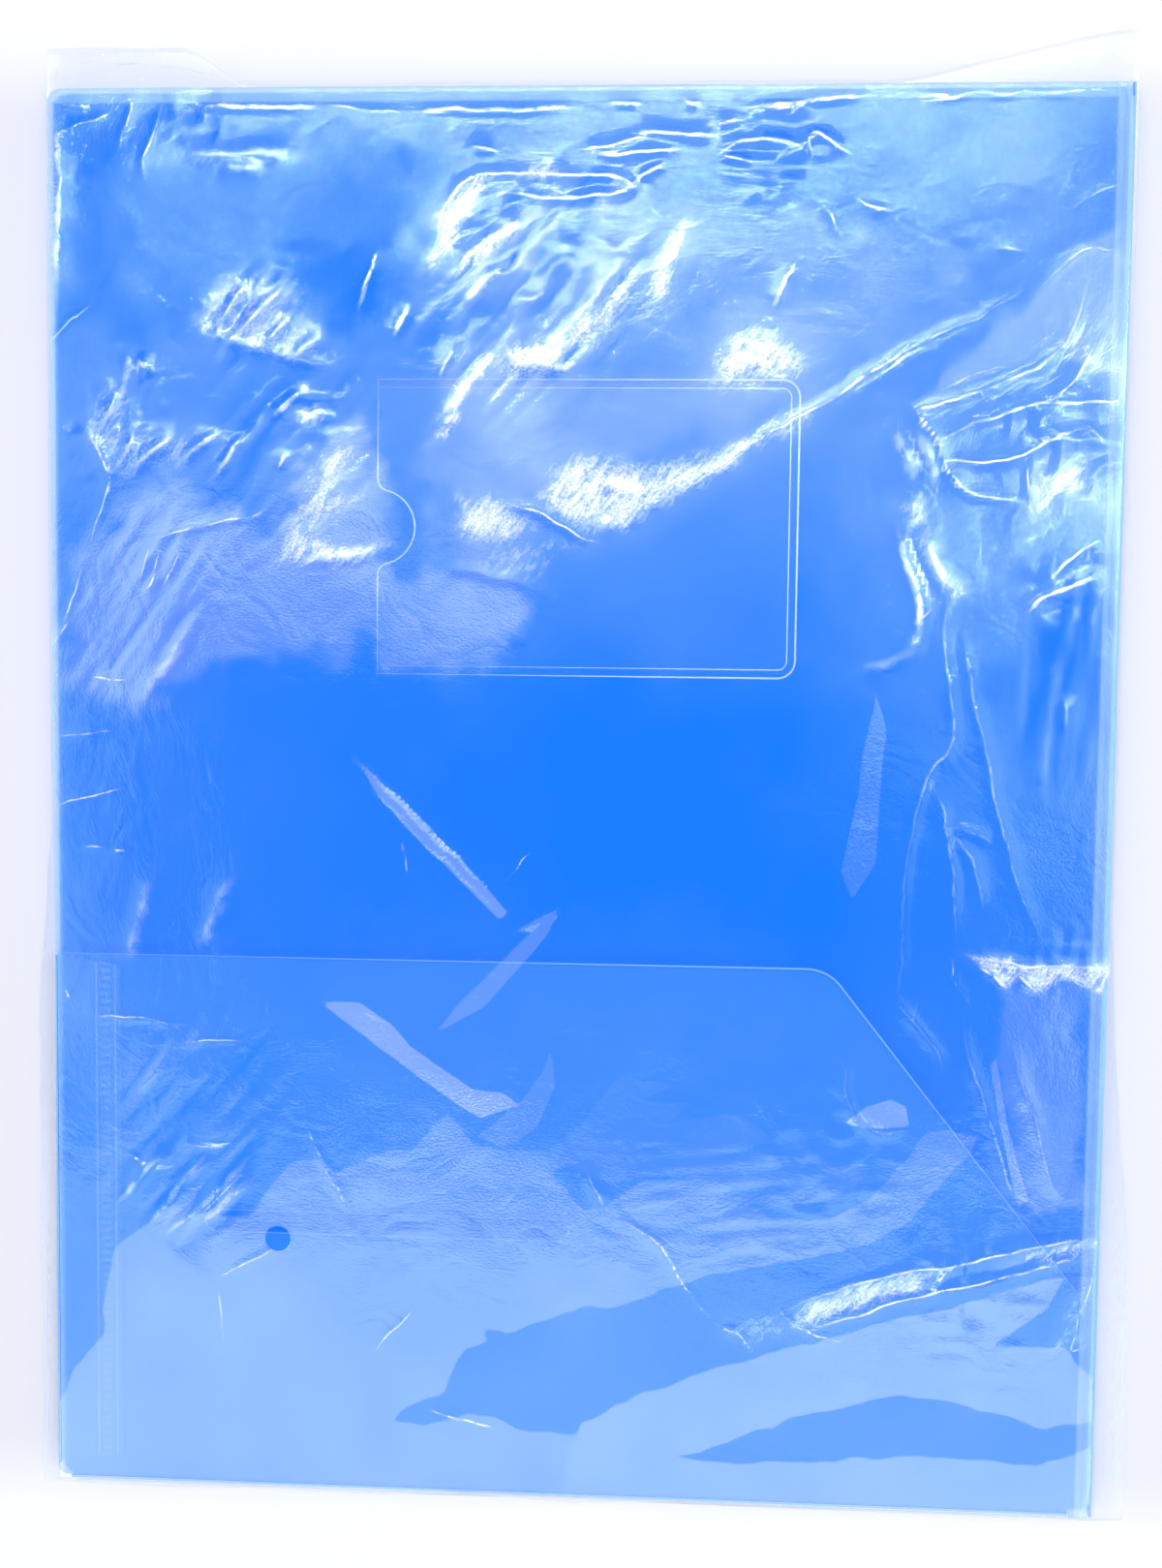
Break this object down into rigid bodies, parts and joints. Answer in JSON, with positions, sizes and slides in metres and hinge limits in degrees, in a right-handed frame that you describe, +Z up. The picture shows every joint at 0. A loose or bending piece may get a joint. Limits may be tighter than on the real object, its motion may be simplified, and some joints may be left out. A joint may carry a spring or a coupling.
{
  "type": "two flap folder",
  "caption": "Flat document folder of translucent blue plastic with welded pocket flaps, a creased spine and a clear card pocket, lying in its clear film bag.",
  "frame": {"origin": "centre of the whole part's footprint, on the underside of the bag, with the folder closed and lying on its back cover", "axes": "+X from the open edge to the spine, +Y from the foot to the head, +Z up through the stack to the front cover"},
  "size_m": [0.254, 0.332, 0.006],
  "materials": {
    "cover_sheet": "satin translucent blue polypropylene",
    "tab_sheet": "satin translucent blue polypropylene",
    "flap_sheet": "satin translucent blue polypropylene",
    "spine_sheet": "satin translucent blue polypropylene, paler where it is creased",
    "pocket_film": "glossy clear film",
    "bag_film": "glossy clear film with creases"
  },
  "bodies": {
    "back_leaf": {"back_cover": "cover_sheet", "back_tab": "tab_sheet", "back_flap": "flap_sheet"},
    "spine_strip": {"spine": "spine_sheet"},
    "front_leaf": {"front_cover": "cover_sheet", "front_tab": "tab_sheet", "front_flap": "flap_sheet", "card_pocket": "pocket_film"},
    "bag": {"bag_back": "bag_film", "bag_front": "bag_film"}
  },
  "joints": [
    {"name": "back_crease", "type": "hinge", "parent": "back_leaf", "child": "spine_strip", "pos_m": [0.11828, 0, 0.00072], "axis": [0, 1, 0], "range_deg": [0, 87.5]},
    {"name": "front_crease", "type": "hinge", "parent": "spine_strip", "child": "front_leaf", "pos_m": [0.11828, 0, 0.00477], "axis": [0, 1, 0], "range_deg": [0, 87.5], "deforming": ["bag_front"]},
    {"name": "bag_slide", "type": "slide", "parent": "back_leaf", "child": "bag", "axis": [0, -1, 0], "range_m": [0, 0.335]}
  ],
  "couplings": [
    {"joint": "back_crease", "follows": "front_crease", "ratio": 1}
  ]
}
